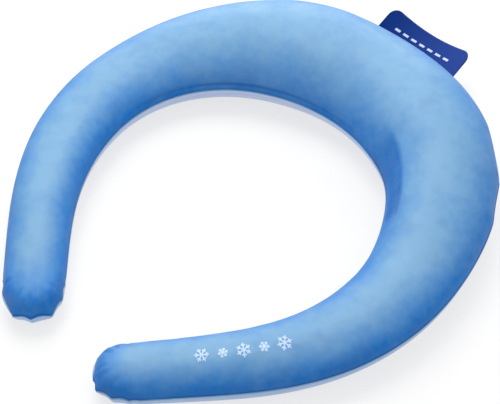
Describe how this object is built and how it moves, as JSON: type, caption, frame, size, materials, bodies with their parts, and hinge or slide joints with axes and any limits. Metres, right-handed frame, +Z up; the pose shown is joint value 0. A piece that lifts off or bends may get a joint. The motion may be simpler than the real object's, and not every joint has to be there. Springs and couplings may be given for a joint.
{
  "type": "cooling neck ring",
  "caption": "C-shaped neck ring: a tapering tube of two welded films filled with cooling gel, open at the front, with a tab on the nape's outer weld.",
  "frame": {"origin": "middle of the base, on the surface that the ring lies on", "axes": "+Z up, +Y from the open front towards the nape and its tab, +X to the wearer's side on the right in the top view"},
  "size_m": [0.1802, 0.2104, 0.0362],
  "materials": {
    "upper_film": "soft satin film, slightly see-through, mid blue",
    "lower_film": "soft satin film, pale lavender",
    "cooling_gel": "clear pale blue gel, sealed between the films",
    "label_tab": "fine navy weave, satin"
  },
  "bodies": {
    "root": {"upper_film": "upper_film", "lower_film": "lower_film", "cooling_gel": "cooling_gel", "label_tab": "label_tab"}
  },
  "joints": []
}
